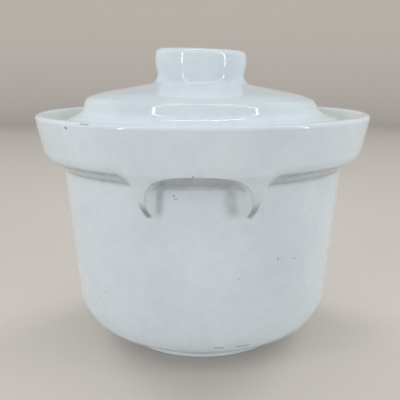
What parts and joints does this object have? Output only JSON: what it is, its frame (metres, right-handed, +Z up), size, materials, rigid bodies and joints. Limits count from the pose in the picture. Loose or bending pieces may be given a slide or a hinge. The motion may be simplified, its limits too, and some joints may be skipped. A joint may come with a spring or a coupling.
{
  "type": "lidded ceramic pot",
  "caption": "Round white glazed ceramic pot with a deep rim collar, ribbed lug handles, a foot ring and a loose domed lid with a broad hollow knob.",
  "frame": {"origin": "on the table, under the middle of the foot ring", "axes": "+Z up the pot's axis, -Y towards the handle that faces the camera, +X to the camera's right"},
  "size_m": [0.218, 0.218, 0.1918],
  "materials": {
    "pot_glaze": "glossy white glaze, slightly cool",
    "lid_glaze": "glossy white glaze, slightly cool",
    "bare_clay": "ground bare on its standing face"
  },
  "bodies": {
    "pot": {"pot_bowl": "pot_glaze", "foot_ring": "bare_clay", "lid_ledge": "pot_glaze", "rim_collar": "pot_glaze", "front_left_rib": "pot_glaze", "front_right_rib": "pot_glaze", "back_left_rib": "pot_glaze", "back_right_rib": "pot_glaze"},
    "lid": {"lid_shell": "lid_glaze", "lid_locating_ring": "lid_glaze", "lid_knob": "lid_glaze"}
  },
  "joints": [
    {"name": "lid_lift", "type": "slide", "parent": "pot", "child": "lid", "axis": [0, 0, 1], "range_m": [0, 0.12]}
  ]
}
